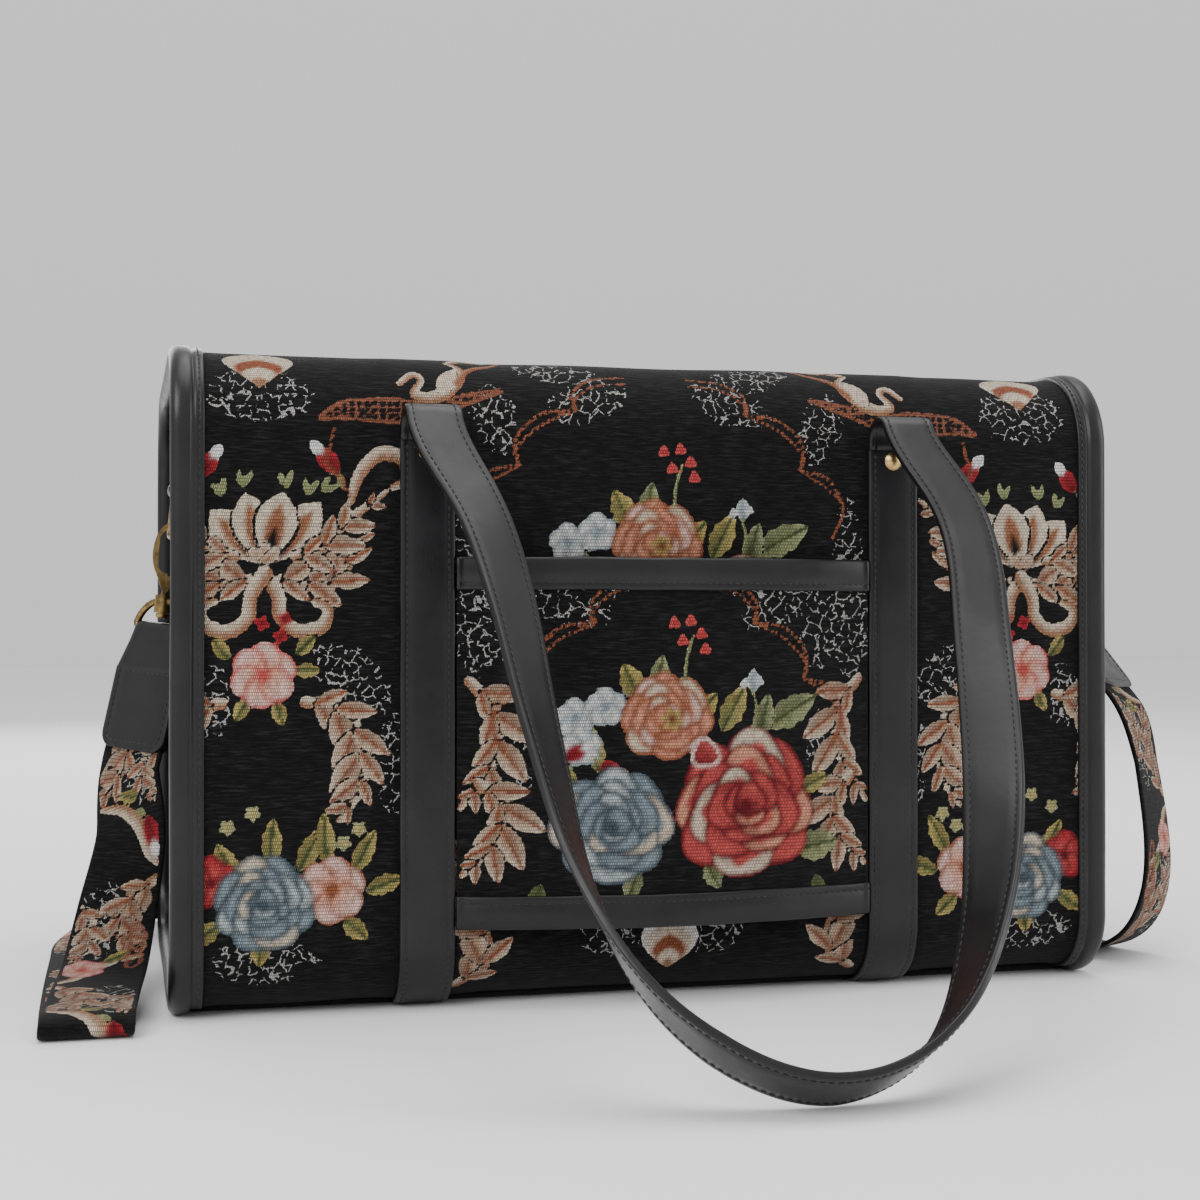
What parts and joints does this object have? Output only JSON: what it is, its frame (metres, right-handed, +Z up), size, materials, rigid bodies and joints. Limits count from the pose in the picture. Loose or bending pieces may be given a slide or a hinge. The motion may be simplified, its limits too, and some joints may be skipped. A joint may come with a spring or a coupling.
{
  "type": "carpet bag",
  "caption": "Tapestry travel bag with leather bindings, looped carrying handles, a trolley sleeve on its back and a clip-on shoulder strap.",
  "frame": {"origin": "on the floor, under the middle of the base", "axes": "+Z up; -Y out of the back, where the trolley sleeve is; +X towards the right end as seen from the back"},
  "size_m": [0.5763, 0.6974, 0.3029],
  "materials": {
    "tapestry": "matte woven pile with a flower pattern",
    "leather": "satin",
    "mesh": "matte netting",
    "base_cloth": "matte ribbed cloth",
    "board": "matte",
    "lining": "satin twill",
    "zip_tape": "matte tape",
    "brass": "aged satin",
    "rivet_brass": "polished"
  },
  "bodies": {
    "root": {"back_panel": "tapestry", "front_panel": "tapestry", "base_panel": "base_cloth", "base_board": "board", "lining": "lining", "left_end_panel": "leather", "right_end_panel": "leather", "left_mesh_window": "mesh", "right_mesh_window": "mesh", "left_window_trim": "leather", "right_window_trim": "leather", "left_end_binding": "leather", "right_end_binding": "leather", "left_ring_chape": "leather", "right_ring_chape": "leather", "chape_rivets": "rivet_brass", "back_strap_left": "leather", "back_strap_right": "leather", "front_strap_left": "leather", "front_strap_right": "leather", "handle_rivets": "rivet_brass", "trolley_sleeve": "tapestry", "sleeve_binding_top": "leather", "sleeve_binding_bottom": "leather", "zip_tape_back": "zip_tape", "zip_tape_front": "zip_tape", "zip_teeth_back": "brass", "zip_teeth_front": "brass", "zip_tab_left": "leather", "zip_tab_right": "leather", "left_strap_ring": "brass", "right_strap_ring": "brass", "left_strap_tab": "leather", "right_strap_tab": "leather", "shoulder_strap": "tapestry"},
    "back_handle": {"back_handle_loop": "leather"},
    "front_handle": {"front_handle_loop": "leather"},
    "zip_slider": {"zip_slider": "brass"},
    "zip_pull": {"zip_pull": "brass"},
    "left_ring": {"left_bag_ring": "brass"},
    "right_ring": {"right_bag_ring": "brass"},
    "left_hook": {"left_snap_hook": "brass", "left_gate_pin": "brass"},
    "right_hook": {"right_snap_hook": "brass", "right_gate_pin": "brass"},
    "left_gate": {"left_hook_gate": "brass"},
    "right_gate": {"right_hook_gate": "brass"}
  },
  "joints": [
    {"name": "back_handle_swing", "type": "hinge", "parent": "root", "child": "back_handle", "pos_m": [0, -0.13762, 0.27457], "axis": [-1, 0, 0], "range_deg": [0, 160]},
    {"name": "front_handle_swing", "type": "hinge", "parent": "root", "child": "front_handle", "pos_m": [0, 0.13762, 0.27457], "axis": [1, 0, 0], "range_deg": [0, 160]},
    {"name": "zip_slide", "type": "slide", "parent": "root", "child": "zip_slider", "axis": [-1, 0, 0], "range_m": [0, 0.32]},
    {"name": "zip_pull_flip", "type": "hinge", "parent": "zip_slider", "child": "zip_pull", "pos_m": [0.16, 0, 0.3009], "axis": [0, 1, 0], "range_deg": [0, 180]},
    {"name": "left_ring_swing", "type": "hinge", "parent": "root", "child": "left_ring", "pos_m": [-0.2195, 0, 0.2426], "axis": [0, 1, 0], "range_deg": [-2, 2]},
    {"name": "right_ring_swing", "type": "hinge", "parent": "root", "child": "right_ring", "pos_m": [0.2195, 0, 0.2426], "axis": [0, 1, 0], "range_deg": [-2, 2]},
    {"name": "left_hook_swivel", "type": "hinge", "parent": "root", "child": "left_hook", "pos_m": [-0.22622, 0, 0.18076], "axis": [0.108, 0, 0.9942], "range_deg": [-12, 12]},
    {"name": "right_hook_swivel", "type": "hinge", "parent": "root", "child": "right_hook", "pos_m": [0.24209, -0.02952, 0.19415], "axis": [-0.3544, 0.5446, 0.7601], "range_deg": [-12, 12]},
    {"name": "left_gate", "type": "hinge", "parent": "left_hook", "child": "left_gate", "pos_m": [-0.22334, 0, 0.19614], "axis": [0, -1, 0], "range_deg": [0, 11], "stiffness_Nm_per_rad": 0.02},
    {"name": "right_gate", "type": "hinge", "parent": "right_hook", "child": "right_gate", "pos_m": [0.23547, -0.02102, 0.2055], "axis": [0.2302, 0.8387, -0.4936], "range_deg": [0, 11], "stiffness_Nm_per_rad": 0.02}
  ]
}
